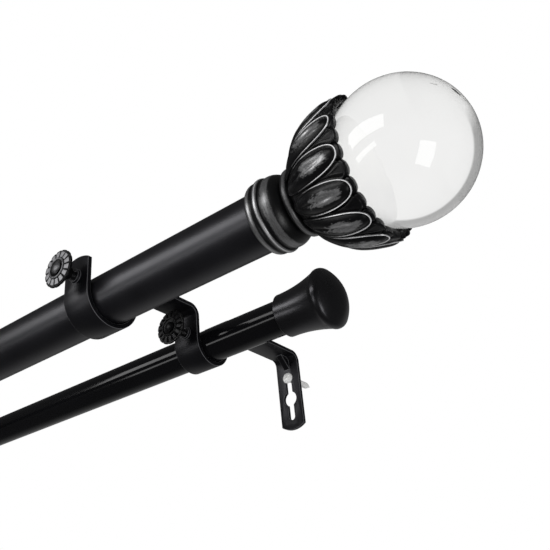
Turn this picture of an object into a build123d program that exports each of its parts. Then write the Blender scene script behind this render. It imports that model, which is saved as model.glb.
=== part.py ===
"""Double curtain rod on two strap brackets: front rod with leaf-cup ball finials, rear rod with flared caps.

Millimetres. +X runs along the rods, +Y into the wall, +Z up. The origin is on the wall surface, where
the right bracket's wall screw enters it.
"""

import os
from math import sqrt

from build123d import *

os.makedirs("parts", exist_ok=True)

# Rods: two telescoping tubes each, drawn at their shortest length
front_rod_d = 25.4
rear_rod_d = 18.6
tube_wall = 0.8
tube_slide_gap = 0.3
rod_travel = 508.0
rod_spare_len = 203.2
tube_overlap = 60.0
front_inner_shows = 40.0
rear_inner_shows = 30.0
glide_gap = 0.1
glide_ring_len = 4.0
glide_spigot_len = 12.0
push_gap = 0.05

# Bracket: one bent strip
strap_w = 16.7
strap_t = 2.3
front_reach = 158.0
rear_reach = 85.8
front_drop = 2.0
rear_drop = 4.6
bracket_inset = 99.5
front_cradle_room = 0.9
rear_cradle_room = 1.3
rod_seat_gap = 0.3
arm_top = 16.0
bend_r = 4.0
tab_crown = 17.3
tab_end_r = 17.0
plate_bottom = -34.0
plate_end_r = 14.0
key_circle_r = 4.7
key_circle_z = -13.9
key_slot_w = 4.3
key_slot_down = 11.9
hang_gap = 0.1
dart_leg = 8.0
dart_w = 4.0

# Wall screw: round head, one driver slot
wall_screw_d = 3.5
wall_screw_neck_d = 3.9
wall_screw_len = 28.0
wall_screw_point = 5.0
screw_head_d = 6.9
screw_head_h = 2.3
screw_edge_h = 0.6
driver_slot_w = 0.9
driver_slot_depth = 0.9
driver_slot_turn = 25.0

# Thumbscrews
stud_d = 4.0
stud_fit = 0.05
stud_tip_d = 2.4
stud_tip_len = 0.8
stud_tip_gap = 0.35
front_screw_rise = 9.0
rear_screw_rise = 5.8
pierced_collar_r = 3.4
pierced_collar_h = 1.5
front_knob_off_collar = 2.6
rear_knob_off_collar = 4.1
knob_d = 19.0
knob_hub_r = 3.0
knob_hub_h = 2.0
knob_rim_z = 5.4
knob_rim_t = 1.4
knob_ring_r = 5.4
knob_ring_w = 1.2
knob_ring_z = 7.7
knob_groove_z = 6.7
knob_button_r = 3.3
knob_button_z = 7.4
knob_dome_z = 8.2
knob_bore_depth = 5.0
knob_ribs = 20
knob_rib_groove = 0.8

# Finial: collar over the tube end, leaf cup, ball
collar_skirt = 6.0
tube_end_gap = 0.2
bead_height = 2.7
bead_len = 4.4
ring_groove = 1.1
collar_lip = 0.5
fillet_ring_height = 3.4
fillet_ring_len = 3.2
barrel_height = 2.6
barrel_len = 8.6
barrel_swell_at = 3.0
neck_r = 11.2
neck_len = 1.6
flange_r = 14.4
flange_len = 2.6
ball_d = 54.8
ball_seat_gap = 0.1
ball_stand = 61.9
cup_base_r = 12.5
cup_rim_back = 12.9
cup_rim_wall = 2.8
leaf_count = 14
leaf_turn = 5.0
leaf_w = 10.2
leaf_h = 2.6
leaf_edge_h = 1.0
leaf_tip_len = 0.5
leaf_sink = 1.4
inner_leaf_w = 8.4
inner_leaf_h = 1.4
inner_leaf_edge_h = 0.4
inner_swell_len = 0.6
inner_tip_len = 1.6
lobe_w = 6.0
lobe_h = 2.6
lobe_edge_h = 1.1
lobe_swell_len = 0.8
lobe_tip_len = 2.0
# Stations along a leaf or lobe: share of the way up the cup, reach past the rim, width share, height share
leaf_stations = (
    (0.03, 0.0, 0.5, 0.55),
    (0.25, 0.0, 0.8, 0.85),
    (0.5, 0.0, 1.0, 1.0),
    (0.75, 0.0, 0.95, 1.05),
    (0.92, 0.0, 0.7, 1.0),
    (1.0, leaf_tip_len, 0.3, 1.0),
)
inner_leaf_stations = (
    (0.35, 0.0, 0.6, 0.5),
    (0.6, 0.0, 0.9, 0.8),
    (0.85, 0.0, 1.0, 1.0),
    (1.0, inner_swell_len, 0.85, 1.7),
    (1.0, inner_tip_len, 0.45, 1.6),
)
lobe_stations = (
    (0.75, 0.0, 0.8, 0.6),
    (0.92, 0.0, 1.0, 1.0),
    (1.0, lobe_swell_len, 0.95, 1.0),
    (1.0, lobe_tip_len, 0.55, 0.8),
)
finial_stud_d = 6.0
finial_stud_in_cup = 9.0
finial_stud_in_plug = 12.0
stud_end_gap = 0.5
plug_len = 18.0

# Rear end cap: trumpet with a domed end
cap_wall = 2.2
cap_gap = 0.1
cap_sleeve_len = 1.5
cap_bore_len = 20.0
cap_flare_len = 23.1
cap_rim_r = 15.9
cap_rim_len = 4.0
cap_dome_h = 6.0
cap_edge_r = 0.7
cap_len = cap_sleeve_len + cap_flare_len + cap_rim_len + cap_dome_h
rear_cap_inset = 57.1

# Worked-out places
front_r = front_rod_d / 2
rear_r = rear_rod_d / 2
front_y = -front_reach
rear_y = -rear_reach
front_z = -front_drop
rear_z = -rear_drop
front_rod_closed = rod_travel + rod_spare_len
bracket_spacing = front_rod_closed - 2 * bracket_inset
left_x = -bracket_spacing
right_collar_x = bracket_inset
left_collar_x = left_x - bracket_inset
right_cap_x = rear_cap_inset
left_cap_x = left_x - rear_cap_inset
collar_len = bead_len + fillet_ring_len + barrel_len + neck_len / 2


def across(seat):
    """Plane through a seat's axis: local x is the radius, local y runs along the axis."""
    return Plane(seat.origin, x_dir=seat.x_dir, z_dir=-seat.y_dir)


def finish(piece, name):
    """Label a finished piece and write its file."""
    piece.label = name
    export_step(piece, f"parts/{name}.step")


def place(proto, seat, name):
    """Put a piece that is drawn round its own Z axis on its seat."""
    with BuildPart(seat) as placed:
        add(proto)
    finish(placed.part, name)


turned = across(Plane.XY)

# Bracket straps: the strip's middle line, thickened, then the ends, holes and dart
front_cradle_r = front_r + front_cradle_room
rear_cradle_r = rear_r + rear_cradle_room
half_t = strap_t / 2
front_cradle_z = front_z - front_r - rod_seat_gap + front_cradle_r
rear_cradle_z = rear_z - rear_r - rod_seat_gap + rear_cradle_r
front_tab_y = front_y - front_cradle_r - half_t
rear_wall_y = rear_y - rear_cradle_r - half_t
arm_mid = arm_top - half_t
bend_mid = bend_r + half_t
front_screw_z = front_z + front_screw_rise
rear_screw_z = rear_z + rear_screw_rise
slot_top_z = wall_screw_neck_d / 2 + hang_gap - key_slot_w / 2
slot_bottom_z = key_circle_z - key_slot_down


def bracket_strap(x, name):
    with BuildPart() as strap:
        with BuildSketch(Plane.YZ.offset(x)):
            with BuildLine():
                tab = Line((front_tab_y, tab_crown), (front_tab_y, front_cradle_z))
                front_cradle = JernArc(tab @ 1, tab % 1, front_cradle_r + half_t, 180)
                front_rise = Line(front_cradle @ 1, ((front_cradle @ 1).X, arm_mid - bend_mid))
                front_bend = JernArc(front_rise @ 1, front_rise % 1, bend_mid, -90)
                front_arm = Line(front_bend @ 1, (rear_wall_y - bend_mid, arm_mid))
                drop_bend = JernArc(front_arm @ 1, front_arm % 1, bend_mid, -90)
                rear_wall = Line(drop_bend @ 1, (rear_wall_y, rear_cradle_z))
                rear_cradle = JernArc(rear_wall @ 1, rear_wall % 1, rear_cradle_r + half_t, 180)
                rear_rise = Line(rear_cradle @ 1, ((rear_cradle @ 1).X, arm_mid - bend_mid))
                rear_bend = JernArc(rear_rise @ 1, rear_rise % 1, bend_mid, -90)
                rear_arm = Line(rear_bend @ 1, (-half_t - bend_mid, arm_mid))
                plate_bend = JernArc(rear_arm @ 1, rear_arm % 1, bend_mid, -90)
                Line(plate_bend @ 1, (-half_t, plate_bottom))
            trace(line_width=strap_t)
        extrude(amount=strap_w / 2, both=True)
        # Stiffening dart pressed into the bend above the wall plate
        with BuildSketch(Plane.YZ.offset(x)):
            with BuildLine():
                Polyline(
                    plate_bend @ 0.5,
                    (-strap_t - dart_leg, arm_mid),
                    (-strap_t - dart_leg, arm_top - strap_t),
                    (-strap_t, arm_top - strap_t - dart_leg),
                    (-half_t, arm_top - strap_t - dart_leg),
                    close=True,
                )
            make_face()
        extrude(amount=dart_w / 2, both=True)
        # Shallow arcs at the tab's top and the plate's foot
        for end_y, tip_z, arc_r, up in (
            (front_tab_y, tab_crown, tab_end_r, 1),
            (-half_t, plate_bottom, plate_end_r, -1),
        ):
            shoulder = sqrt(arc_r**2 - (strap_w / 2) ** 2)
            end_plane = Plane((x, end_y, tip_z - up * arc_r), x_dir=(up, 0, 0), z_dir=(0, -1, 0))
            with BuildSketch(end_plane):
                with Locations((0, shoulder + arc_r / 2)):
                    Rectangle(strap_w + strap_t, arc_r)
                Circle(arc_r, mode=Mode.SUBTRACT)
            extrude(amount=strap_t, both=True, mode=Mode.SUBTRACT)
        # Pierced and tapped collars for the two thumbscrews
        for wall_y, screw_z in ((front_tab_y, front_screw_z), (rear_wall_y, rear_screw_z)):
            face = Plane((x, wall_y - half_t, screw_z), x_dir=(1, 0, 0), z_dir=(0, -1, 0))
            with BuildSketch(face):
                Circle(pierced_collar_r)
            extrude(amount=pierced_collar_h)
            with BuildSketch(face):
                Circle(stud_d / 2 + stud_fit)
            extrude(amount=pierced_collar_h, mode=Mode.SUBTRACT)
            with BuildSketch(face):
                Circle(stud_d / 2 + stud_fit)
            extrude(amount=-strap_t, mode=Mode.SUBTRACT)
        # Double keyhole: the screw head goes in at the circle, the shank runs to either end
        with BuildSketch(Plane((x, 0, key_circle_z), x_dir=(1, 0, 0), z_dir=(0, -1, 0))):
            Circle(key_circle_r)
            with Locations((0, (slot_top_z + slot_bottom_z) / 2 - key_circle_z)):
                SlotCenterToCenter(slot_top_z - slot_bottom_z, key_slot_w, rotation=90)
        extrude(amount=strap_t, mode=Mode.SUBTRACT)
    finish(strap.part, name)


bracket_strap(0, "right_bracket_strap")
bracket_strap(left_x, "left_bracket_strap")

# Wall screws: seat plane is the plate's room side, Z points out of the wall
with BuildPart() as wall_screw:
    with BuildSketch(turned):
        with BuildLine():
            shank_end = strap_t - wall_screw_len
            Polyline(
                (0, shank_end),
                (wall_screw_d / 2, shank_end + wall_screw_point),
                (wall_screw_d / 2, -strap_t),
                (wall_screw_neck_d / 2, -strap_t),
                (wall_screw_neck_d / 2, 0),
                (screw_head_d / 2, 0),
                (screw_head_d / 2, screw_edge_h),
            )
            TangentArc((0, screw_head_h), (screw_head_d / 2, screw_edge_h), tangent=(1, 0))
            Line((0, screw_head_h), (0, shank_end))
        make_face()
    revolve(axis=Axis.Z)
    with BuildSketch(Plane.XY.offset(screw_head_h)):
        Rectangle(screw_head_d, driver_slot_w, rotation=driver_slot_turn)
    extrude(amount=-driver_slot_depth, mode=Mode.SUBTRACT)

for side, x in (("right", 0), ("left", left_x)):
    screw_seat = Plane((x, -strap_t, 0), x_dir=(1, 0, 0), z_dir=(0, -1, 0))
    place(wall_screw.part, screw_seat, f"{side}_wall_screw")

# Thumbscrew knob: hub, dished rosette with radial ribs, raised ring, groove and domed button
with BuildPart() as knob:
    with BuildSketch(turned):
        with BuildLine():
            Polyline(
                (0, knob_bore_depth),
                (stud_d / 2 + stud_fit, knob_bore_depth),
                (stud_d / 2 + stud_fit, 0),
                (knob_hub_r, 0),
                (knob_hub_r, knob_hub_h),
                (knob_d / 2, knob_rim_z),
                (knob_d / 2, knob_rim_z + knob_rim_t),
                (knob_ring_r, knob_ring_z - knob_ring_w / 2),
            )
            ring_arc = ThreePointArc(
                (knob_ring_r, knob_ring_z - knob_ring_w / 2),
                (knob_ring_r - knob_ring_w / 2, knob_ring_z),
                (knob_ring_r - knob_ring_w, knob_ring_z - knob_ring_w / 2),
            )
            Polyline(
                ring_arc @ 1,
                (knob_button_r, knob_groove_z),
                (knob_button_r, knob_button_z),
            )
            TangentArc((0, knob_dome_z), (knob_button_r, knob_button_z), tangent=(1, 0))
            Line((0, knob_dome_z), (0, knob_bore_depth))
        make_face()
    revolve(axis=Axis.Z)
    # Grooves between the ribs: a vee that runs out over the rim
    rib_rise = knob_ring_z - knob_ring_w / 2 - knob_rim_z - knob_rim_t
    rib_run = knob_d / 2 - knob_ring_r
    rib_slope = sqrt(rib_rise**2 + rib_run**2)
    vee_plane = Plane(
        (knob_ring_r, 0, knob_ring_z - knob_ring_w / 2),
        x_dir=(0, 1, 0),
        z_dir=(rib_run, 0, -rib_rise),
    )
    with BuildSketch(vee_plane):
        Polygon(
            (-knob_rib_groove, knob_rib_groove),
            (knob_rib_groove, knob_rib_groove),
            (0, -knob_rib_groove),
            align=None,
        )
    groove = extrude(amount=rib_slope + knob_rib_groove, mode=Mode.PRIVATE)
    with PolarLocations(0, knob_ribs):
        add(groove, mode=Mode.SUBTRACT)

# Thumbscrew studs: the tip stops just short of the rod, the other end sits in the knob's bore
tip_low_r = stud_tip_d / 2


def stud_reach(rod_r, rise):
    """How far the stud's tip stands from the plane through the rod's axis, clear of the rod."""
    tip_edge = sqrt(rod_r**2 - (rise - tip_low_r) ** 2)
    shoulder_edge = sqrt(rod_r**2 - (rise - stud_d / 2) ** 2) - stud_tip_len
    return max(tip_edge, shoulder_edge) + stud_tip_gap


for cradle, rod_y, rod_r, rise, wall_y, screw_z, knob_off_collar in (
    ("front", front_y, front_r, front_screw_rise, front_tab_y, front_screw_z, front_knob_off_collar),
    ("rear", rear_y, rear_r, rear_screw_rise, rear_wall_y, rear_screw_z, rear_knob_off_collar),
):
    knob_back_y = wall_y - half_t - pierced_collar_h - knob_off_collar
    tip_y = rod_y - stud_reach(rod_r, rise)
    stud_len = tip_y - knob_back_y + knob_bore_depth - stud_fit
    with BuildPart() as stud:
        with BuildSketch(turned):
            with BuildLine():
                Polyline(
                    (0, knob_bore_depth - stud_fit),
                    (stud_d / 2, knob_bore_depth - stud_fit),
                    (stud_d / 2, knob_bore_depth - stud_fit - stud_len + stud_tip_len),
                    (tip_low_r, knob_bore_depth - stud_fit - stud_len),
                    (0, knob_bore_depth - stud_fit - stud_len),
                    close=True,
                )
            make_face()
        revolve(axis=Axis.Z)
    for side, x in (("right", 0), ("left", left_x)):
        knob_seat = Plane((x, knob_back_y, screw_z), x_dir=(1, 0, 0), z_dir=(0, -1, 0))
        place(stud.part, knob_seat, f"{side}_{cradle}_thumbscrew_stud")
        place(knob.part, knob_seat, f"{side}_{cradle}_thumbscrew_knob")

# Tubes: the outer tube stays in the brackets, the inner one slides out to the left
front_inner_r = front_r - tube_wall - tube_slide_gap
rear_inner_r = rear_r - tube_wall - tube_slide_gap


def tube(r, start_x, end_x, y, z, name):
    with BuildPart() as pipe:
        with BuildSketch(Plane((start_x, y, z), x_dir=(0, 0, 1), z_dir=(1, 0, 0))):
            Circle(r)
            Circle(r - tube_wall, mode=Mode.SUBTRACT)
        extrude(amount=end_x - start_x)
    finish(pipe.part, name)


def glide(r, outer_r, end_x, y, z, name):
    """Plastic plug in the inner tube's hidden end, with a ring that runs in the outer tube."""
    with BuildPart() as plug:
        with BuildSketch(Plane((end_x, y, z), x_dir=(0, 0, 1), z_dir=(1, 0, 0))):
            Circle(outer_r - tube_wall - glide_gap)
        extrude(amount=glide_ring_len)
        with BuildSketch(Plane((end_x, y, z), x_dir=(0, 0, 1), z_dir=(-1, 0, 0))):
            Circle(r - tube_wall - push_gap)
        extrude(amount=glide_spigot_len)
    finish(plug.part, name)


front_end_x = right_collar_x + collar_skirt - tube_end_gap
front_mouth_x = left_collar_x + front_inner_shows
front_inner_start_x = left_collar_x - collar_skirt + tube_end_gap
front_inner_end_x = front_mouth_x + rod_travel + tube_overlap
tube(front_r, front_mouth_x, front_end_x, front_y, front_z, "front_outer_tube")
tube(front_inner_r, front_inner_start_x, front_inner_end_x, front_y, front_z, "front_inner_tube")
glide(front_inner_r, front_r, front_inner_end_x, front_y, front_z, "front_tube_glide")

rear_end_x = right_cap_x + cap_bore_len - tube_end_gap
rear_mouth_x = left_cap_x + rear_inner_shows
rear_inner_start_x = left_cap_x - cap_bore_len + tube_end_gap
rear_inner_end_x = rear_mouth_x + rod_travel + tube_overlap
tube(rear_r, rear_mouth_x, rear_end_x, rear_y, rear_z, "rear_outer_tube")
tube(rear_inner_r, rear_inner_start_x, rear_inner_end_x, rear_y, rear_z, "rear_inner_tube")
glide(rear_inner_r, rear_r, rear_inner_end_x, rear_y, rear_z, "rear_tube_glide")

# Finial cup: solid of revolution with a ball seat, then inner leaves, rim lobes and outer leaves lapped on it
cup_start = collar_len
flange_start = cup_start + neck_len / 2
cup_base = flange_start + flange_len
cup_rim = ball_stand - cup_rim_back
seat_r = ball_d / 2 + ball_seat_gap
rim_inner_r = sqrt(seat_r**2 - cup_rim_back**2)
rim_outer_r = rim_inner_r + cup_rim_wall


def petal(stations, full_w, full_h, edge_h):
    """Leaf lofted along the cup's outline, which runs from the rim back to the base."""
    with BuildPart() as blade:
        for share, reach, w_share, h_share in stations:
            along = -(cup_outline % (1 - share))
            spot = cup_outline @ (1 - share) + along * reach
            side = full_w * w_share / 2
            with BuildSketch(Plane(spot, x_dir=(0, -1, 0), z_dir=along)):
                with BuildLine():
                    crown = ThreePointArc((-side, edge_h), (0, full_h * h_share), (side, edge_h))
                    Polyline(crown @ 1, (side, -leaf_sink), (-side, -leaf_sink), crown @ 0)
                make_face()
        loft()
    return blade.part


with BuildLine(turned) as cup_line:
    TangentArc((rim_outer_r, cup_rim), (cup_base_r, cup_base), tangent=(0, -1))
cup_outline = cup_line.edge()
leaf = petal(leaf_stations, leaf_w, leaf_h, leaf_edge_h)
inner_leaf = petal(inner_leaf_stations, inner_leaf_w, inner_leaf_h, inner_leaf_edge_h)
lobe = petal(lobe_stations, lobe_w, lobe_h, lobe_edge_h)
with BuildPart() as finial_cup:
    with BuildSketch(turned):
        with BuildLine():
            Line((0, cup_start), (neck_r, cup_start))
            Line((neck_r, cup_start), (neck_r, flange_start))
            ThreePointArc(
                (neck_r, flange_start),
                (flange_r, flange_start + flange_len / 2),
                (cup_base_r, cup_base),
            )
            TangentArc((rim_outer_r, cup_rim), (cup_base_r, cup_base), tangent=(0, -1))
            Line((rim_outer_r, cup_rim), (rim_inner_r, cup_rim))
            RadiusArc((rim_inner_r, cup_rim), (0, ball_stand - seat_r), seat_r)
            Line((0, ball_stand - seat_r), (0, cup_start))
        make_face()
    revolve(axis=Axis.Z)
    half_step = 180 / leaf_count
    with PolarLocations(0, leaf_count, start_angle=leaf_turn + half_step):
        add(inner_leaf)
    with PolarLocations(0, leaf_count, start_angle=leaf_turn):
        add(lobe)
        add(leaf)
    with BuildSketch(Plane.XY.offset(cup_start)):
        Circle(finial_stud_d / 2 + push_gap)
    extrude(amount=finial_stud_in_cup, mode=Mode.SUBTRACT)

# Ball, seated in the cup
with BuildPart() as ball:
    with Locations((0, 0, ball_stand)):
        Sphere(ball_d / 2)


def finial_collar(tube_r):
    """Ringed collar: bead, thin ring, barrel and half of the neck, bored for one tube end."""
    with BuildPart() as collar:
        with BuildSketch(turned):
            with BuildLine():
                bead_end = bead_len
                ring_end = bead_end + fillet_ring_len
                barrel_end = ring_end + barrel_len
                groove_r = front_r + fillet_ring_height - ring_groove
                mouth_r = tube_r + push_gap
                bead = ThreePointArc(
                    (front_r + push_gap + collar_lip, 0),
                    (front_r + bead_height, bead_len / 2),
                    (groove_r, bead_end),
                )
                ring = ThreePointArc(
                    bead @ 1,
                    (front_r + fillet_ring_height, bead_end + fillet_ring_len / 2),
                    (groove_r, ring_end),
                )
                barrel = ThreePointArc(
                    ring @ 1,
                    (front_r + barrel_height, ring_end + barrel_swell_at),
                    (neck_r, barrel_end),
                )
                Polyline(
                    barrel @ 1,
                    (neck_r, collar_len),
                    (finial_stud_d / 2 + push_gap, collar_len),
                    (finial_stud_d / 2 + push_gap, collar_skirt),
                    (mouth_r, collar_skirt),
                    (mouth_r, 0),
                    bead @ 0,
                )
            make_face()
        revolve(axis=Axis.Z)
    return collar.part


def rod_plug(tube_r):
    """Threaded insert pressed into a tube end, flush with it."""
    with BuildPart() as plug:
        with BuildSketch(Plane.XY.offset(collar_skirt - tube_end_gap - plug_len)):
            Circle(tube_r - tube_wall - push_gap)
            Circle(finial_stud_d / 2 + push_gap, mode=Mode.SUBTRACT)
        extrude(amount=plug_len)
    return plug.part


# Finial stud: joins the cup to the plug through the collar
stud_start = collar_skirt - tube_end_gap - finial_stud_in_plug
stud_end = cup_start + finial_stud_in_cup - stud_end_gap
with BuildPart() as finial_stud:
    with BuildSketch(Plane.XY.offset(stud_start)):
        Circle(finial_stud_d / 2)
    extrude(amount=stud_end - stud_start)

for side, collar_x, out, tube_r in (
    ("right", right_collar_x, 1, front_r),
    ("left", left_collar_x, -1, front_inner_r),
):
    finial_seat = Plane((collar_x, front_y, front_z), x_dir=(0, 0, 1), z_dir=(out, 0, 0))
    place(finial_collar(tube_r), finial_seat, f"{side}_finial_collar")
    place(rod_plug(tube_r), finial_seat, f"{side}_rod_plug")
    place(finial_stud.part, finial_seat, f"{side}_finial_stud")
    place(finial_cup.part, finial_seat, f"{side}_finial_cup")
    place(ball.part, finial_seat, f"{side}_finial_ball")


def end_cap(tube_r):
    """Flared cap that pushes over a rear tube end: sleeve, trumpet flare, round rim, domed end."""
    sleeve_r = rear_r + cap_wall
    rim_start = cap_sleeve_len + cap_flare_len
    rim_end = rim_start + cap_rim_len
    with BuildPart() as cap:
        with BuildSketch(turned):
            with BuildLine():
                bore_r = tube_r + cap_gap
                Polyline((0, cap_bore_len), (bore_r, cap_bore_len), (bore_r, 0), (sleeve_r - cap_edge_r, 0))
                Line((sleeve_r - cap_edge_r, 0), (sleeve_r, cap_edge_r))
                sleeve = Line((sleeve_r, cap_edge_r), (sleeve_r, cap_sleeve_len))
                flare = TangentArc(sleeve @ 1, (cap_rim_r - cap_edge_r, rim_start), tangent=sleeve % 1)
                rim = ThreePointArc(
                    flare @ 1, (cap_rim_r, rim_start + cap_rim_len / 2), (cap_rim_r - cap_edge_r, rim_end)
                )
                TangentArc((0, cap_len), rim @ 1, tangent=(1, 0))
                Line((0, cap_len), (0, cap_bore_len))
            make_face()
        revolve(axis=Axis.Z)
    return cap.part


for side, cap_x, out, tube_r in (
    ("right", right_cap_x, 1, rear_r),
    ("left", left_cap_x, -1, rear_inner_r),
):
    cap_seat = Plane((cap_x, rear_y, rear_z), x_dir=(0, 0, 1), z_dir=(out, 0, 0))
    place(end_cap(tube_r), cap_seat, f"{side}_end_cap")
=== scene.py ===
"""Looks for a double curtain rod on two strap brackets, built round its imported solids, in metres."""

import math

import bmesh
import bpy
from mathutils import Matrix, Vector


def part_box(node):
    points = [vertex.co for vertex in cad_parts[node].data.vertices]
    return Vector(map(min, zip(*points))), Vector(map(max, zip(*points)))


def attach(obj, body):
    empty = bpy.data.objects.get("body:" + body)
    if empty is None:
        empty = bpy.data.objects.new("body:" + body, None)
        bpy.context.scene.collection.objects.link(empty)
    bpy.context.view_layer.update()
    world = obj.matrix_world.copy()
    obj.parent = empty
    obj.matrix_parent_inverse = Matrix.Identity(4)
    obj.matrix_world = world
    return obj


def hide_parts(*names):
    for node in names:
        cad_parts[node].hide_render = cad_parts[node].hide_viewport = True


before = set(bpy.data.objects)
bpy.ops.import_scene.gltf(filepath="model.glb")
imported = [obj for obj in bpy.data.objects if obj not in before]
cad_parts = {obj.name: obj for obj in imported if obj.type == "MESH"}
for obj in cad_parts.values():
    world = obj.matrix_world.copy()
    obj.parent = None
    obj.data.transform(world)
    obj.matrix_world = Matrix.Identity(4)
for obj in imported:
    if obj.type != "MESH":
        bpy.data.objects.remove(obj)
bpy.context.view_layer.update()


# Wall screws: round-head wood screws of steel, bright zinc plated, one hung in the top of each keyhole.
# Head and neck are turned and the head is slotted; the thread is rolled on the shank down to its point.
MM = 0.001
SIDES = ("right", "left")
SCREW_SHANK_R = 1.75 * MM
SCREW_POINT = 5.0 * MM
SCREW_POINT_LEAST = 0.08
SCREW_THREAD_START = 1.0 * MM
SCREW_THREAD_PITCH = 1.4 * MM
SCREW_THREAD_RISE = 0.35 * MM
SCREW_THREAD_ROOT = 0.8 * MM
THREAD_STEPS = 20
ZINC_TONES = ((0.9, 0.9, 0.89), (0.97, 0.97, 0.96))
ZINC_ROUGH = (0.36, 0.5)
ZINC_STREAKS, ZINC_PITS = 900, 2600
ZINC_DRAWN = (1, 0.3, 1)
ZINC_PIT_DEPTH = 0.02 * MM
GRAIN_LOW, GRAIN_HIGH = 0.3, 0.7
SHARP_ANGLE = 38
CLEAR_SLOT = "clear_ball"


def node(tree, kind, sockets=None, **settings):
    """Shader node with its settings and its fixed socket values."""
    made = tree.nodes.new("ShaderNode" + kind)
    for setting, value in settings.items():
        setattr(made, setting, value)
    for socket, value in (sockets or {}).items():
        made.inputs[socket].default_value = value
    return made


def new_finish(name, **sockets):
    """Material with one Principled shader: its node tree and shader come back with it."""
    finish = bpy.data.materials.new(name)
    finish.use_nodes = True
    shader = finish.node_tree.nodes["Principled BSDF"]
    for socket, value in sockets.items():
        shader.inputs[socket.replace("_", " ")].default_value = value
    return finish, finish.node_tree, shader


def grain(tree, per_metre, detail=4.0, stretch=(1, 1, 1)):
    """Noise on the piece's own coordinates, with so many grains to the metre."""
    coords = node(tree, "TexCoord")
    mapping = node(tree, "Mapping", {"Scale": stretch})
    noise = node(tree, "TexNoise", {"Scale": per_metre, "Detail": detail})
    tree.links.new(coords.outputs["Object"], mapping.inputs["Vector"])
    tree.links.new(mapping.outputs["Vector"], noise.inputs["Vector"])
    return noise.outputs["Fac"]


def spread(tree, source, low, high, start=GRAIN_LOW, end=GRAIN_HIGH):
    """Numbers from low to high as the source goes from start to end."""
    limits = {"From Min": start, "From Max": end, "To Min": low, "To Max": high}
    ranged = node(tree, "MapRange", limits)
    tree.links.new(source, ranged.inputs["Value"])
    return ranged.outputs["Result"]


def tint(tree, source, dark, light, start=GRAIN_LOW, end=GRAIN_HIGH):
    """Colours from dark to light as the source goes from start to end."""
    ramp = node(tree, "ValToRGB")
    first, last = ramp.color_ramp.elements
    first.position, first.color = start, (*dark, 1)
    last.position, last.color = end, (*light, 1)
    tree.links.new(source, ramp.inputs["Fac"])
    return ramp.outputs["Color"]


def vary(tree, shader, source, tones, rough):
    """Let the source run the shader's colour between two tones and its roughness between two values."""
    tree.links.new(tint(tree, source, *tones), shader.inputs["Base Color"])
    tree.links.new(spread(tree, source, *rough), shader.inputs["Roughness"])


def roughen(tree, shader, source, depth):
    """Bump of a real depth in metres."""
    bump = node(tree, "Bump", {"Distance": depth, "Strength": 1.0})
    tree.links.new(source, bump.inputs["Height"])
    tree.links.new(bump.outputs["Normal"], shader.inputs["Normal"])


def seat(origin, axis, up):
    """Place for a piece drawn round its own Z axis: its Z goes along axis, its X along up."""
    along = Vector(axis)
    across = Vector(up)
    turn = Matrix((across, along.cross(across), along)).transposed()
    return Matrix.Translation(origin) @ turn.to_4x4()


def settle(bm, name, place, body, slot, finish, *nodes, sharp=SHARP_ANGLE):
    """Make a closed bmesh a piece in its place, smooth but for its sharp edges, riding on a body.

    Of the pieces made here, rays that a ball has refracted see the balls only.
    """
    bmesh.ops.recalc_face_normals(bm, faces=bm.faces)
    if bm.calc_volume(signed=True) < 0:
        bmesh.ops.reverse_faces(bm, faces=bm.faces)
    bm.transform(place)
    mesh = bpy.data.meshes.new(name)
    bm.to_mesh(mesh)
    bm.free()
    mesh.shade_smooth()
    mesh.set_sharp_from_angle(angle=math.radians(sharp))
    mesh.materials.append(finish)
    piece = bpy.data.objects.new(name, mesh)
    piece.visible_transmission = slot == CLEAR_SLOT
    bpy.context.scene.collection.objects.link(piece)
    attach(piece, body)
    if nodes:
        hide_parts(*nodes)
    return piece


zinc, tree, shader = new_finish("bright_zinc_plating", Metallic=0.2, Specular_IOR_Level=0.5)
vary(tree, shader, grain(tree, ZINC_STREAKS, stretch=ZINC_DRAWN), ZINC_TONES, ZINC_ROUGH)
roughen(tree, shader, grain(tree, ZINC_PITS), ZINC_PIT_DEPTH)

for side in SIDES:
    low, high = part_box(f"{side}_wall_screw")
    axis_x, axis_z = (low.x + high.x) / 2, (low.z + high.z) / 2
    thread_end = high.y - SCREW_POINT
    turns = int((high.y - SCREW_THREAD_START) / SCREW_THREAD_PITCH) - 1
    bm = bmesh.new()
    ridge = [
        bm.verts.new((SCREW_SHANK_R - SCREW_THREAD_RISE, 0, -SCREW_THREAD_ROOT / 2)),
        bm.verts.new((SCREW_SHANK_R + SCREW_THREAD_RISE, 0, 0)),
        bm.verts.new((SCREW_SHANK_R - SCREW_THREAD_RISE, 0, SCREW_THREAD_ROOT / 2)),
    ]
    edges = [bm.edges.new((ridge[i - 1], ridge[i])) for i in range(3)]
    bmesh.ops.spin(
        bm,
        geom=ridge + edges,
        cent=(0, 0, 0),
        axis=(0, 0, 1),
        dvec=(0, 0, SCREW_THREAD_PITCH / THREAD_STEPS),
        angle=math.tau * turns,
        steps=turns * THREAD_STEPS,
        use_merge=False,
    )
    bmesh.ops.holes_fill(bm, edges=bm.edges, sides=3)
    cylinder_len = thread_end - SCREW_THREAD_START
    for vert in bm.verts:
        past = max(0.0, vert.co.z - cylinder_len)
        narrowing = max(SCREW_POINT_LEAST, 1 - past / SCREW_POINT)
        vert.co.x *= narrowing
        vert.co.y *= narrowing
    place = seat((axis_x, SCREW_THREAD_START, axis_z), (0, 1, 0), (1, 0, 0))
    settle(bm, f"{side}_wall_screw_thread", place, "bracket_set", "bright_zinc", zinc)
    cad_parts[f"{side}_wall_screw"].data.materials[0] = zinc


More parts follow.
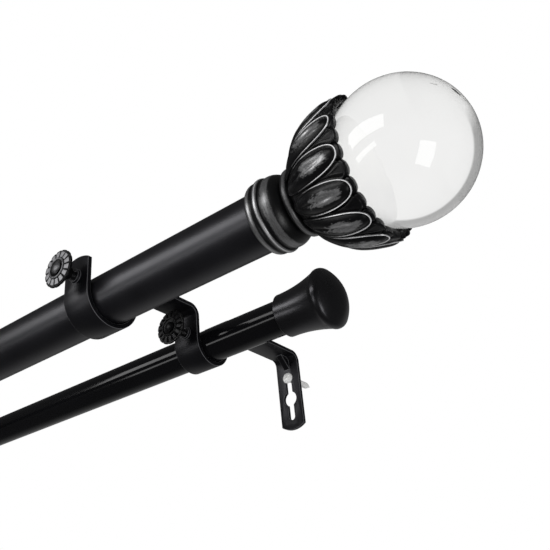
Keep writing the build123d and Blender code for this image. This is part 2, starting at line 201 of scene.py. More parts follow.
# Bracket straps: steel strip, pierced flat, then bent in a press into two cradles and a wall plate.
# The sheared edges are tumbled a little round, and the whole strap is dipped in satin black enamel.
# Those rounded edges get a paler tone, which is a painted highlight along them.
STRAP_EDGE, STRAP_EDGE_STEPS = 0.4 * MM, 2
BEND_SHARP = math.radians(34)
FLAT_JOIN = math.radians(0.4)
WELD = 0.001 * MM
STRAP_TONES = ((0.003, 0.003, 0.004), (0.005, 0.005, 0.0065))
STRAP_ROUGH = (0.34, 0.42)
STRAP_PEEL = 0.02 * MM
STRAP_GLOSS = 0.4
COOL_GLOSS = (0.95, 0.94, 1.0, 1.0)
# Paler tone painted onto the straps' rounded edges as a highlight.
EDGE_HIGHLIGHT_TONE = (0.1, 0.1, 0.107, 1.0)
ENAMEL_CLOUDS, ENAMEL_PEEL = 55, 1400


def satin_enamel(name, tones, rough, peel, gloss):
    """Baked satin black: tone and gloss drift over a fine orange peel, and marked edges get a painted
    highlight.
    """
    finish, tree, shader = new_finish(name, Specular_IOR_Level=gloss, Specular_Tint=COOL_GLOSS)
    drift = grain(tree, ENAMEL_CLOUDS, detail=6.0)
    edge_highlight = node(tree, "Attribute", attribute_name="edge_highlight")
    tone = node(tree, "Mix", {"B": EDGE_HIGHLIGHT_TONE}, data_type="RGBA")
    tree.links.new(edge_highlight.outputs["Fac"], tone.inputs["Factor"])
    tree.links.new(tint(tree, drift, *tones), tone.inputs["A"])
    tree.links.new(tone.outputs["Result"], shader.inputs["Base Color"])
    tree.links.new(spread(tree, drift, *rough), shader.inputs["Roughness"])
    roughen(tree, shader, grain(tree, ENAMEL_PEEL, detail=2.0), peel)
    return finish


strap_enamel = satin_enamel("satin_black_strap", STRAP_TONES, STRAP_ROUGH, STRAP_PEEL, STRAP_GLOSS)
for side in SIDES:
    strap = f"{side}_bracket_strap"
    bm = bmesh.new()
    bm.from_mesh(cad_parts[strap].data)
    bmesh.ops.remove_doubles(bm, verts=bm.verts, dist=WELD)
    bmesh.ops.dissolve_limit(bm, angle_limit=FLAT_JOIN, verts=bm.verts, edges=bm.edges)
    corners = [edge for edge in bm.edges if edge.is_manifold and edge.calc_face_angle() > BEND_SHARP]
    edge_highlight = bm.faces.layers.float.new("edge_highlight")
    rounded = bmesh.ops.bevel(
        bm,
        geom=corners,
        offset=STRAP_EDGE,
        offset_type="OFFSET",
        affect="EDGES",
        segments=STRAP_EDGE_STEPS,
        profile=0.5,
        material=-1,
        clamp_overlap=True,
    )
    # The bevelled edge faces are marked for the paler painted highlight.
    for face in rounded["faces"]:
        face[edge_highlight] = 1.0
    settle(bm, f"{side}_strap", Matrix(), "bracket_set", "satin_black_strap", strap_enamel, strap)


# Rear rod: two thin steel tubes, one sliding in the other, with their seams welded and ground away.
# Their ends are trimmed with a small bevel, and both are sprayed in gloss black enamel.
TUBE_WALL = 0.8 * MM
TUBE_LIP = 0.25 * MM
ROUND_STEPS = 128
GLOSS_TONES = ((0.003, 0.003, 0.0035), (0.0045, 0.0045, 0.0054))
GLOSS_ROUGH = (0.08, 0.12)
GLOSS_CLOUDS, GLOSS_WAVES = 40, 120
GLOSS_DRAWN = (0.2, 1, 1)
GLOSS_WAVE_DEPTH = 0.004 * MM


def lathe(outline, steps=ROUND_STEPS, closed=False):
    """Spin an outline of (radius, height) points round Z."""
    bm = bmesh.new()
    points = [bm.verts.new((radius, 0, height)) for radius, height in outline]
    edges = [bm.edges.new(pair) for pair in zip(points, points[1:])]
    if closed:
        edges.append(bm.edges.new((points[-1], points[0])))
    bmesh.ops.spin(
        bm,
        geom=points + edges,
        cent=(0, 0, 0),
        axis=(0, 0, 1),
        angle=math.tau,
        steps=steps,
        use_merge=True,
    )
    bmesh.ops.remove_doubles(bm, verts=bm.verts, dist=WELD)
    return bm


def seat_on_rod(low, high, out):
    """Place for a piece drawn from its inner end: on its box's middle line, pointing out along the rod."""
    inner_end = low.x if out > 0 else high.x
    middle = (inner_end, (low.y + high.y) / 2, (low.z + high.z) / 2)
    return seat(middle, (out, 0, 0), (0, 0, 1))


def tube(node_name, name, body, slot, finish):
    """Plain tube with eased ends, in the place of its solid."""
    low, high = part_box(node_name)
    radius = (high.z - low.z) / 2
    inner = radius - TUBE_WALL
    length = high.x - low.x
    outline = [
        (inner, 0),
        (radius - TUBE_LIP, 0),
        (radius, TUBE_LIP),
        (radius, length - TUBE_LIP),
        (radius - TUBE_LIP, length),
        (inner, length),
    ]
    place = seat_on_rod(low, high, 1)
    settle(lathe(outline, closed=True), name, place, body, slot, finish, node_name)


gloss_enamel, tree, shader = new_finish("gloss_black_enamel", Specular_IOR_Level=0.3)
vary(tree, shader, grain(tree, GLOSS_CLOUDS, stretch=GLOSS_DRAWN), GLOSS_TONES, GLOSS_ROUGH)
roughen(tree, shader, grain(tree, GLOSS_WAVES, detail=1.0), GLOSS_WAVE_DEPTH)
tube("rear_outer_tube", "rear_tube", "bracket_set", "gloss_black_tube", gloss_enamel)
tube("rear_inner_tube", "rear_sliding_tube", "rear_inner_rod", "gloss_black_tube", gloss_enamel)


# Rear end caps: trumpet-shaped caps moulded in black plastic, pushed over the rod's two ends.
# A straight sleeve grips the tube, a long flare leads to a rounded rim, and the face is a shallow dome.
CAP_SLEEVE_R, CAP_SLEEVE_LEN = 11.5 * MM, 1.5 * MM
CAP_FLARE_LEN = 23.1 * MM
CAP_RIM_R, CAP_RIM_LEN = 15.9 * MM, 4.0 * MM
CAP_EDGE = 0.7 * MM
CAP_BORE_LEN = 20.0 * MM
CAP_GAP = 0.1 * MM
CAP_TONES = ((0.003, 0.003, 0.0034), (0.005, 0.005, 0.0058))
CAP_ROUGH = (0.25, 0.32)
CAP_PEEL = 0.012 * MM
CAP_GLOSS = 0.8


def arc(centre, radius, first, sweep, steps):
    """Points spaced evenly along part of a circle."""
    angles = [first + sweep * i / steps for i in range(steps + 1)]
    x, y = centre
    return [(x + radius * math.cos(angle), y + radius * math.sin(angle)) for angle in angles]


def arc_through(start, middle, end, steps=10):
    """Outline points on the circle through three points."""
    (ax, ay), (bx, by), (cx, cy) = start, middle, end
    twice = 2 * (ax * (by - cy) + bx * (cy - ay) + cx * (ay - by))
    a2, b2, c2 = ax * ax + ay * ay, bx * bx + by * by, cx * cx + cy * cy
    ux = (a2 * (by - cy) + b2 * (cy - ay) + c2 * (ay - by)) / twice
    uy = (a2 * (cx - bx) + b2 * (ax - cx) + c2 * (bx - ax)) / twice
    first = math.atan2(ay - uy, ax - ux)
    sweep = (math.atan2(cy - uy, cx - ux) - first) % math.tau
    if (math.atan2(by - uy, bx - ux) - first) % math.tau > sweep:
        sweep -= math.tau
    return arc((ux, uy), math.hypot(ax - ux, ay - uy), first, sweep, steps)


def arc_from(start, heading, end, steps=14):
    """Outline points on the circle that leaves start along heading and reaches end."""
    chord = (end[0] - start[0], end[1] - start[1])
    side = (-heading[1], heading[0])
    bulge = (chord[0] ** 2 + chord[1] ** 2) / (2 * (chord[0] * side[0] + chord[1] * side[1]))
    centre = (start[0] + side[0] * bulge, start[1] + side[1] * bulge)
    first = math.atan2(start[1] - centre[1], start[0] - centre[0])
    last = math.atan2(end[1] - centre[1], end[0] - centre[0])
    sweep = (last - first + math.pi) % math.tau - math.pi
    return arc(centre, abs(bulge), first, sweep, steps)


cap_plastic = satin_enamel("satin_black_cap", CAP_TONES, CAP_ROUGH, CAP_PEEL, CAP_GLOSS)
cap_rim_start = CAP_SLEEVE_LEN + CAP_FLARE_LEN
cap_rim_end = cap_rim_start + CAP_RIM_LEN
cap_rim_edge = CAP_RIM_R - CAP_EDGE
cap_flare = arc_from((CAP_SLEEVE_R, CAP_SLEEVE_LEN), (0, 1), (cap_rim_edge, cap_rim_start))
cap_rim = arc_through(
    (cap_rim_edge, cap_rim_start),
    (CAP_RIM_R, cap_rim_start + CAP_RIM_LEN / 2),
    (cap_rim_edge, cap_rim_end),
)
for side, out, tube_node, body in (
    ("right", 1, "rear_outer_tube", "bracket_set"),
    ("left", -1, "rear_inner_tube", "rear_inner_rod"),
):
    cap = f"{side}_end_cap"
    low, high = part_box(cap)
    tube_low, tube_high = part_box(tube_node)
    bore = (tube_high.z - tube_low.z) / 2 + CAP_GAP
    dome = arc_from((0, high.x - low.x), (1, 0), cap_rim[-1])
    outline = [(0, CAP_BORE_LEN), (bore, CAP_BORE_LEN), (bore, 0), (CAP_SLEEVE_R - CAP_EDGE, 0)]
    outline += [(CAP_SLEEVE_R, CAP_EDGE)] + cap_flare + cap_rim[1:] + dome[-2::-1]
    place = seat_on_rod(low, high, out)
    settle(lathe(outline), f"{side}_flared_cap", place, body, "satin_black_cap", cap_plastic, cap)


# Front rod: two larger steel tubes that telescope like the rear pair, in a duller satin black enamel.
# The coat is sprayed and baked on, so it keeps a faint drift of tone and a fine orange peel.
ROD_TONES = ((0.0028, 0.0028, 0.004), (0.0048, 0.0048, 0.0066))
ROD_ROUGH = (0.34, 0.4)
ROD_PEEL = 0.024 * MM
ROD_GLOSS = 0.7

rod_enamel = satin_enamel("satin_black_rod", ROD_TONES, ROD_ROUGH, ROD_PEEL, ROD_GLOSS)
tube("front_outer_tube", "front_tube", "bracket_set", "satin_black_tube", rod_enamel)
tube("front_inner_tube", "front_sliding_tube", "front_inner_rod", "satin_black_tube", rod_enamel)


# Finial collars: cast resin collars over the front rod's ends, with a bead, a thin ring and a barrel.
# They are painted black and dry-brushed with pewter in strokes that run round them, and the pewter
# stays on the crests of the turnings.
COLLAR_LIP_R = 13.25 * MM
BEAD_R, BEAD_LEN = 15.4 * MM, 4.4 * MM
GROOVE_R = 15.0 * MM
RING_R, RING_LEN = 16.1 * MM, 3.2 * MM
RING_END = BEAD_LEN + RING_LEN
BARREL_R, BARREL_LEN, BARREL_SWELL = 15.3 * MM, 8.6 * MM, 3.0 * MM
NECK_R, COLLAR_LEN = 11.2 * MM, 17.0 * MM
COLLAR_SKIRT = 6.0 * MM
COLLAR_GAP = 0.05 * MM
STUD_BORE_R = 3.05 * MM
FINIALS = (("right", 1, "bracket_set"), ("left", -1, "front_inner_rod"))
TURNED_SHARP = 30
TURNED_PEWTER = (0.7, 0.7, 0.71)
BLACK_PAINT = (0.003, 0.003, 0.0035)
PAINT_ROUGH = (0.28, 0.42)
PAINT_DUST, DUST_PULL = 1700, 0.3
PAINT_DEPTH = 0.04 * MM
BRUSH_HAIRS, BRUSH_PULL = 950, 0.8
COVER_START, COVER_FULL = 0.93, 1.8
METAL_FULL = 0.35
THICK_START, THICK_FULL = 0.9, 1.3
THICK_METAL = 0.2
ROUND_STROKES = (1, 0.1, 0.1)
LONG_STROKES = (0.22, 1, 1)
COLLAR_WEAR = (
    (BEAD_LEN * 0.5, 1.2 * MM, 0.92),
    (BEAD_LEN + RING_LEN * 0.65, 0.7 * MM, 1.2),
    (RING_END + BARREL_SWELL, 2.6 * MM, 0.7),
)


def added(tree, source, share, base):
    """A share of the source on top of the base."""
    total = node(tree, "Math", operation="MULTIPLY_ADD")
    total.inputs[1].default_value = share
    tree.links.new(source, total.inputs[0])
    tree.links.new(base, total.inputs[2])
    return total.outputs["Value"]


def times(tree, first, second):
    """The two sources multiplied."""
    product = node(tree, "Math", operation="MULTIPLY")
    tree.links.new(first, product.inputs[0])
    tree.links.new(second, product.inputs[1])
    return product.outputs["Value"]


def brushed_casting(name, pewter, most, metal, gloss, strokes):
    """Black paint with pewter brushed over the raised detail, where the worn attribute is high.

    Thin pewter has a metal glint, and thick pewter is a flatter paint.
    """
    finish, tree, shader = new_finish(name, Specular_IOR_Level=gloss)
    worn = node(tree, "Attribute", attribute_name="worn").outputs["Fac"]
    brush = grain(tree, BRUSH_HAIRS, detail=6.0, stretch=strokes)
    dust = grain(tree, PAINT_DUST, detail=6.0)
    broken = added(tree, dust, DUST_PULL, added(tree, brush, BRUSH_PULL, worn))
    cover = spread(tree, broken, 0.0, most, COVER_START, COVER_FULL)
    tree.links.new(tint(tree, cover, BLACK_PAINT, pewter, 0.0, 1.0), shader.inputs["Base Color"])
    glint = spread(tree, cover, 0.0, 1.0, 0.0, METAL_FULL)
    thin = spread(tree, worn, metal, THICK_METAL * metal, THICK_START, THICK_FULL)
    tree.links.new(times(tree, glint, thin), shader.inputs["Metallic"])
    tree.links.new(spread(tree, dust, *PAINT_ROUGH), shader.inputs["Roughness"])
    roughen(tree, shader, dust, PAINT_DEPTH)
    return finish


def wear(bm, crests):
    """Mark how far the pewter shows: each crest's amount at its height, dying away over its reach."""
    worn = bm.verts.layers.float.new("worn")
    for vert in bm.verts:
        vert[worn] = max(
            amount * math.exp(-(((vert.co.z - height) / reach) ** 2)) for height, reach, amount in crests
        )


turned_casting = brushed_casting(
    "brushed_turned_casting", TURNED_PEWTER, most=0.9, metal=0.85, gloss=0.5, strokes=ROUND_STROKES
)
bead = arc_through((COLLAR_LIP_R, 0), (BEAD_R, BEAD_LEN / 2), (GROOVE_R, BEAD_LEN))
ring = arc_through((GROOVE_R, BEAD_LEN), (RING_R, BEAD_LEN + RING_LEN / 2), (GROOVE_R, RING_END))
barrel = arc_through(
    (GROOVE_R, RING_END),
    (BARREL_R, RING_END + BARREL_SWELL),
    (NECK_R, RING_END + BARREL_LEN),
)
for side, out, body in FINIALS:
    collar = f"{side}_finial_collar"
    low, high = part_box(collar)
    tube_low, tube_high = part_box("front_outer_tube" if out > 0 else "front_inner_tube")
    mouth_r = (tube_high.z - tube_low.z) / 2 + COLLAR_GAP
    outline = bead + ring[1:] + barrel[1:]
    outline += [(NECK_R, COLLAR_LEN), (STUD_BORE_R, COLLAR_LEN), (STUD_BORE_R, COLLAR_SKIRT)]
    outline += [(mouth_r, COLLAR_SKIRT), (mouth_r, 0)]
    bm = lathe(outline, closed=True)
    wear(bm, COLLAR_WEAR)
    place = seat_on_rod(low, high, out)
    settle(
        bm, f"{side}_collar", place, body, "antique_casting", turned_casting, collar, sharp=TURNED_SHARP
    )


# Finial cups: cast resin cups whose outside is two rows of lapped leaves over a ring of rim lobes.
# Each outer leaf has a raised rim and a swelling middle, and the pewter brush has caught both.
FLANGE_START, FLANGE_R = 17.8 * MM, 14.4 * MM
CUP_BASE, CUP_BASE_R = 20.4 * MM, 12.5 * MM
CUP_RIM, CUP_RIM_R = 49.0 * MM, 27.09 * MM
CUP_SPREAD = CUP_RIM_R - CUP_BASE_R
CUP_ARC_R = (CUP_SPREAD**2 + (CUP_RIM - CUP_BASE) ** 2) / (2 * CUP_SPREAD)
CUP_ARC_LEN = CUP_ARC_R * math.asin((CUP_RIM - CUP_BASE) / CUP_ARC_R)
BALL_STAND, SEAT_R = 61.9 * MM, 27.5 * MM
SEAT_RIM_R = math.sqrt(SEAT_R**2 - (BALL_STAND - CUP_RIM) ** 2)
FLANGE_CREST = (FLANGE_START + CUP_BASE) / 2
CUP_WEAR = ((FLANGE_CREST, 0.9 * MM, 0.72), (CUP_RIM, 0.5 * MM, 0.1))
LEAF_PEWTER = (0.93, 0.93, 0.94)
LEAVES = 14
LEAF_TURN = math.radians(5)
LEAF_POINTS = 32
LEAF_FADE = 0.5
LEAF_ROOT_RISE, LEAF_RISE_RATE = 0.35, 1.3
CURL_START, CURL_RUN = 0.8, 0.2
ALL_SMOOTH = 180

# A leaf's rings: share of its width, share of its length, height off the cup, pewter brushed on.
OUTER_LEAF = {
    "root": 0.6 * MM,
    "past_rim": 0.9 * MM,
    "width": 10.2 * MM,
    "widest": 0.62,
    "blunt": 0.42,
    "curl": 0.6 * MM,
    "bare": 0.2,
    "rings": (
        (1.0, 1.0, -1.2 * MM, 0.0),
        (1.0, 1.0, 0.9 * MM, 0.0),
        (0.985, 0.99, 1.6 * MM, 0.7),
        (0.945, 0.97, 1.9 * MM, 1.6),
        (0.9, 0.945, 1.6 * MM, 0.7),
        (0.865, 0.925, 1.15 * MM, 0.0),
        (0.8, 0.89, 1.6 * MM, 0.05),
        (0.64, 0.8, 2.2 * MM, 0.26),
        (0.42, 0.66, 2.6 * MM, 0.5),
        (0.16, 0.5, 2.75 * MM, 0.78),
    ),
}
INNER_LEAF = {
    "root": 9.0 * MM,
    "past_rim": 1.0 * MM,
    "width": 8.0 * MM,
    "widest": 0.78,
    "blunt": 0.42,
    "curl": 0.2 * MM,
    "bare": 0.7,
    "rings": (
        (0.95, 0.985, -1.2 * MM, 0.0),
        (1.0, 1.0, 0.9 * MM, 0.0),
        (0.97, 0.985, 1.5 * MM, 0.4),
        (0.91, 0.955, 1.6 * MM, 0.7),
        (0.84, 0.92, 1.2 * MM, 0.1),
        (0.6, 0.8, 1.0 * MM, 0.0),
        (0.3, 0.62, 0.9 * MM, 0.0),
    ),
}
RIM_LOBE = {
    "root": 18.0 * MM,
    "past_rim": 2.0 * MM,
    "width": 6.5 * MM,
    "widest": 0.9,
    "blunt": 0.5,
    "curl": 0.2 * MM,
    "bare": 0.7,
    "rings": (
        (0.7, 0.93, -1.5 * MM, 0.0),
        (0.95, 0.985, -1.0 * MM, 0.0),
        (1.0, 1.0, -0.2 * MM, 0.1),
        (1.0, 1.0, 0.5 * MM, 0.5),
        (0.93, 0.97, 1.15 * MM, 0.6),
        (0.7, 0.86, 1.5 * MM, 0.0),
        (0.25, 0.6, 1.6 * MM, 0.0),
    ),
}


def wrap(across, along, height, turn):
    """Point on the cup: along its outline from base to rim, across it, and off its surface."""
    swing = max(0.0, CUP_ARC_LEN - along) / CUP_ARC_R
    surface = CUP_RIM_R - CUP_ARC_R + CUP_ARC_R * math.cos(swing)
    radius = surface + height * math.cos(swing)
    lift = CUP_RIM - (CUP_ARC_R + height) * math.sin(swing) + max(0.0, along - CUP_ARC_LEN)
    angle = turn + across / surface
    return Vector((radius * math.cos(angle), radius * math.sin(angle), lift))


def leaf(bm, worn, turn, root, past_rim, width, widest, blunt, curl, bare, rings):
    """One leaf: rings of its outline, each drawn in, raised and bridged to the last, on the cup."""
    tip = CUP_ARC_LEN + past_rim
    point = widest / (1 - widest) * blunt
    loops = []
    for narrowed, shortened, height, brushed in rings:
        made = bmesh.ops.create_circle(bm, segments=LEAF_POINTS, radius=1)["verts"]
        loops.append({edge for vert in made for edge in vert.link_edges})
        for vert in made:
            way = min(1.0, max(0.0, (1 + vert.co.y) / 2))
            half = width / 2 * (way / widest) ** point * ((1 - way) / (1 - widest)) ** blunt
            across = math.copysign(half * narrowed, vert.co.x)
            share = widest + (way - widest) * shortened
            rise = min(1.0, LEAF_ROOT_RISE + LEAF_RISE_RATE * share)
            raised = height * rise if height > 0 else height
            raised += curl * max(0.0, share - CURL_START) / CURL_RUN
            vert.co = wrap(across, root + (tip - root) * share, raised, turn)
            vert[worn] = brushed * min(1.0, max(0.0, (share - bare) / LEAF_FADE))
    for first, second in zip(loops, loops[1:]):
        bmesh.ops.bridge_loops(bm, edges=list(first | second))
    for end in (loops[0], loops[-1]):
        bmesh.ops.contextual_create(bm, geom=list(end))


casting = brushed_casting(
    "brushed_leaf_casting", LEAF_PEWTER, most=1.0, metal=0.85, gloss=0.3, strokes=LONG_STROKES
)
flange = arc_through((NECK_R, FLANGE_START), (FLANGE_R, FLANGE_CREST), (CUP_BASE_R, CUP_BASE))
meridian = arc_from((CUP_RIM_R, CUP_RIM), (0, -1), (CUP_BASE_R, CUP_BASE))
hollow = arc_from((0, BALL_STAND - SEAT_R), (1, 0), (SEAT_RIM_R, CUP_RIM))
cup_outline = [(0, COLLAR_LEN), (NECK_R, COLLAR_LEN)] + flange + meridian[-2::-1] + hollow[::-1]
for side, out, body in FINIALS:
    cup = f"{side}_finial_cup"
    collar_low, collar_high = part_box(f"{side}_finial_collar")
    place = seat_on_rod(collar_low, collar_high, out)
    bm = lathe(cup_outline)
    wear(bm, CUP_WEAR)
    settle(bm, f"{side}_cup", place, body, "antique_casting", turned_casting, cup, sharp=TURNED_SHARP)
    bm = bmesh.new()
    worn = bm.verts.layers.float.new("worn")
    for index in range(LEAVES):
        turn = LEAF_TURN + math.tau * index / LEAVES
        between = turn + math.pi / LEAVES
        leaf(bm, worn, turn, **OUTER_LEAF)
        leaf(bm, worn, between, **INNER_LEAF)
        for lobe_turn in (turn, between):
            leaf(bm, worn, lobe_turn, **RIM_LOBE)
    piece = settle(bm, f"{side}_cup_leaves", place, body, "antique_casting", casting, sharp=ALL_SMOOTH)
    smoothing = piece.modifiers.new("rounded_casting", "SUBSURF")
    smoothing.levels = 1
    smoothing.render_levels = 1


# Finial balls: solid balls of clear acrylic, turned and polished, glued into the cups.
# The part that lies in the cup is silvered, so that no dark casting shows through the clear part.
BALL_R, BALL_FINENESS = 27.4 * MM, 7
COAT_END, COAT_EDGE = 51.4 * MM, 0.2 * MM
COAT_CUT = (0.48, 0.52)
ACRYLIC_TONES = ((0.85, 0.85, 0.84), (0.93, 0.93, 0.925))
ACRYLIC_HAZE, HAZE_DRAWN = 26, (1, 0.35, 1)
SILVER_TONES = ((0.97, 0.97, 0.975), (1.0, 1.0, 0.995))
SILVER_CLOUDS, SILVER_CLEAR = 110, 0.45
SILVER_ROUGH = 0.22

clear, tree, shader = new_finish("clear_acrylic", IOR=1.49)
coat = node(tree, "Attribute", attribute_name="seat_coat").outputs["Fac"]
from_inside = node(tree, "NewGeometry").outputs["Backfacing"]
silvered = spread(tree, times(tree, coat, from_inside), 0.0, 1.0, *COAT_CUT)
haze = grain(tree, ACRYLIC_HAZE, detail=3.0, stretch=HAZE_DRAWN)
clouds = grain(tree, SILVER_CLOUDS, detail=3.0)
ball_tone = node(tree, "Mix", data_type="RGBA")
tree.links.new(silvered, ball_tone.inputs["Factor"])
tree.links.new(tint(tree, haze, *ACRYLIC_TONES), ball_tone.inputs["A"])
tree.links.new(tint(tree, clouds, *SILVER_TONES, end=SILVER_CLEAR), ball_tone.inputs["B"])
tree.links.new(ball_tone.outputs["Result"], shader.inputs["Base Color"])
tree.links.new(silvered, shader.inputs["Metallic"])
tree.links.new(spread(tree, silvered, 1.0, 0.0, 0.0, 1.0), shader.inputs["Transmission Weight"])
tree.links.new(spread(tree, silvered, 0.0, SILVER_ROUGH, 0.0, 1.0), shader.inputs["Roughness"])
for side, out, body in FINIALS:
    ball = f"{side}_finial_ball"
    low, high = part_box(ball)
    bm = bmesh.new()
    seat_coat = bm.verts.layers.float.new("seat_coat")
    bmesh.ops.create_icosphere(bm, subdivisions=BALL_FINENESS, radius=BALL_R)
    for vert in bm.verts:
        hidden = COAT_END - BALL_STAND - vert.co.z
        vert[seat_coat] = min(1.0, max(0.0, 0.5 + hidden / COAT_EDGE))
    place = seat((low + high) / 2, (out, 0, 0), (0, 0, 1))
    settle(bm, f"{side}_ball", place, body, CLEAR_SLOT, clear, ball, sharp=ALL_SMOOTH)


# Thumbscrews: each has a steel stud, blackened and threaded, that runs in a pierced collar of the strap.
# Its die-cast knob is a dished rosette of ribs round a ring and a domed button. The front knobs are
# brushed with pewter; the rear ones take a near-black copy of that finish, which is painted shade.
KNOB_R, KNOB_HUB_R, KNOB_HUB_H = 9.5 * MM, 3.0 * MM, 2.0 * MM
KNOB_BORE_R, KNOB_BORE_DEPTH = 2.05 * MM, 5.0 * MM
KNOB_RIM_Z, KNOB_RIM_T, KNOB_RIM_STEPS = 5.4 * MM, 1.4 * MM, 6
KNOB_RIM_MID = KNOB_RIM_Z + KNOB_RIM_T / 2
KNOB_RING_R, KNOB_RING_W, KNOB_RING_Z = 5.4 * MM, 1.2 * MM, 7.7 * MM
KNOB_RING_FOOT = KNOB_RING_Z - KNOB_RING_W / 2
KNOB_RING_CREST_R, KNOB_RING_CREST_W = KNOB_RING_R - KNOB_RING_W / 2, 0.5 * MM
KNOB_GROOVE_Z, KNOB_GROOVE_TOP = 6.7 * MM, 6.9 * MM
KNOB_BUTTON_R, KNOB_BUTTON_Z, KNOB_DOME_Z = 2.8 * MM, 7.4 * MM, 8.2 * MM
KNOB_BUTTON_STEPS = 8
KNOB_RIBS, RIB_STEPS, RIB_SLOPE_STEPS = 14, 12, 8
RIB_R, RIB_TOP = 8.3 * MM, KNOB_RIM_Z + KNOB_RIM_T
RIB_STEP = 0.3 * MM
RIB_GROOVE, RIM_GROOVE, RIB_SCALLOP = 0.7 * MM, 0.2 * MM, 0.3 * MM
RIB_RUN_OUT = 1.2 * MM
RIBS_FROM_Z, RIBS_FROM_R = KNOB_RIM_MID - 0.1 * MM, KNOB_RING_R + 0.02 * MM
RIM_FROM_R = RIB_R + 0.05 * MM
FURROW_POWER = 14
RIB_WORN, FURROW_WIPED = 1.5, 2.0
RING_WORN, BUTTON_WORN, BUTTON_TOP_WORN = 0.85, 0.5, 0.45
# The rear knobs' near-black pewter is painted shade for the knobs that sit behind the front rod.
FRONT_KNOB_PEWTER, REAR_KNOB_SHADED_PEWTER = (0.29, 0.29, 0.3), (0.02, 0.02, 0.022)
STUD_PITCH, STUD_THREAD_DEPTH = 0.7 * MM, 0.25 * MM
STUD_TONES = ((0.05, 0.05, 0.052), (0.11, 0.11, 0.115))
STUD_ROUGH = (0.3, 0.45)
STUD_TARNISH = 900
WAVE_LENGTH = 0.314

stud_steel, tree, shader = new_finish("blackened_stud_steel", Metallic=1.0)
thread_coords = node(tree, "TexCoord")
thread_scale = {"Scale": WAVE_LENGTH / STUD_PITCH, "Distortion": 0.0}
thread = node(tree, "TexWave", thread_scale, bands_direction="Y")
tree.links.new(thread_coords.outputs["Object"], thread.inputs["Vector"])
vary(tree, shader, grain(tree, STUD_TARNISH), STUD_TONES, STUD_ROUGH)
roughen(tree, shader, thread.outputs["Fac"], STUD_THREAD_DEPTH)

knob_finishes = {
    "front": brushed_casting(
        "brushed_knob", FRONT_KNOB_PEWTER, most=1.0, metal=0.6, gloss=0.15, strokes=LONG_STROKES
    ),
    "rear": brushed_casting(
        # Same knob finish with near-black pewter: painted shade for the rear knobs behind the front rod.
        "shaded_rear_knob", REAR_KNOB_SHADED_PEWTER, most=0.2, metal=0.6, gloss=0.25, strokes=LONG_STROKES
    ),
}
knob_rim = arc_through(
    (KNOB_R - RIB_STEP, KNOB_RIM_Z),
    (KNOB_R, KNOB_RIM_MID - RIB_STEP),
    (KNOB_R - RIB_STEP, RIB_TOP - RIB_STEP),
    KNOB_RIM_STEPS,
)
knob_slope = []
for index in range(RIB_SLOPE_STEPS):
    inward = index / RIB_SLOPE_STEPS
    knob_slope.append(
        (RIB_R + (KNOB_RING_R - RIB_R) * inward, RIB_TOP + (KNOB_RING_FOOT - RIB_TOP) * inward)
    )
knob_ring = arc_through(
    (KNOB_RING_R, KNOB_RING_FOOT),
    (KNOB_RING_CREST_R, KNOB_RING_Z),
    (KNOB_RING_R - KNOB_RING_W, KNOB_RING_FOOT),
)
knob_button = arc_from((0, KNOB_DOME_Z), (1, 0), (KNOB_BUTTON_R, KNOB_BUTTON_Z), KNOB_BUTTON_STEPS)
knob_outline = [(0, KNOB_BORE_DEPTH), (KNOB_BORE_R, KNOB_BORE_DEPTH), (KNOB_BORE_R, 0)]
knob_outline += [(KNOB_HUB_R, 0), (KNOB_HUB_R, KNOB_HUB_H)]
knob_outline += knob_rim + [(RIB_R, RIB_TOP - RIB_STEP)] + knob_slope + knob_ring
knob_outline += [(KNOB_BUTTON_R, KNOB_GROOVE_Z)] + knob_button[::-1]
for side in SIDES:
    for cradle, knob_finish in knob_finishes.items():
        knob = f"{side}_{cradle}_thumbscrew_knob"
        low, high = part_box(knob)
        bm = lathe(knob_outline, steps=KNOB_RIBS * RIB_STEPS)
        worn = bm.verts.layers.float.new("worn")
        for vert in bm.verts:
            radius = math.hypot(vert.co.x, vert.co.y)
            angle = math.atan2(vert.co.y, vert.co.x)
            furrow = abs(math.cos(angle * KNOB_RIBS / 2)) ** FURROW_POWER
            on_rim = radius > RIM_FROM_R
            on_edge = on_rim or vert.co.z < RIB_TOP - RIB_STEP / 2
            if vert.co.z > RIBS_FROM_Z and radius > RIBS_FROM_R:
                run_out = min(1.0, (radius - KNOB_RING_R) / RIB_RUN_OUT)
                depth = RIM_GROOVE if on_edge else RIB_GROOVE
                vert.co.z -= depth * furrow * run_out
                vert[worn] = 0.0 if on_edge else RIB_WORN - FURROW_WIPED * furrow
            elif vert.co.z > KNOB_GROOVE_TOP:
                on_crest = abs(radius - KNOB_RING_CREST_R) < KNOB_RING_CREST_W
                on_button = BUTTON_TOP_WORN * (1 - radius / KNOB_BUTTON_R) + BUTTON_WORN
                vert[worn] = RING_WORN if on_crest else on_button
            if on_rim:
                shrink = 1 - RIB_SCALLOP * furrow / radius
                vert.co.x *= shrink
                vert.co.y *= shrink
        place = seat(((low.x + high.x) / 2, high.y, (low.z + high.z) / 2), (0, -1, 0), (1, 0, 0))
        body = f"{side}_{cradle}_knob"
        settle(bm, f"{side}_{cradle}_knob_rosette", place, body, "antique_knob", knob_finish, knob)
        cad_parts[f"{side}_{cradle}_thumbscrew_stud"].data.materials[0] = stud_steel


# Hidden pieces: nylon glides on the inner tubes, nylon plugs pressed into the front rod's ends,
# and plain steel studs that join each cup to its plug through the collar.
NYLON_TONES = ((0.7, 0.7, 0.67), (0.82, 0.82, 0.8))
NYLON_ROUGH = (0.4, 0.55)
NYLON_FLOW, NYLON_PITS = 180, 1200
NYLON_PIT_DEPTH = 0.02 * MM
STEEL_TONES = ((0.42, 0.42, 0.43), (0.6, 0.6, 0.61))
STEEL_ROUGH = (0.28, 0.42)
STEEL_TURNING, STEEL_DRAWN = 1500, (1, 0.2, 0.2)

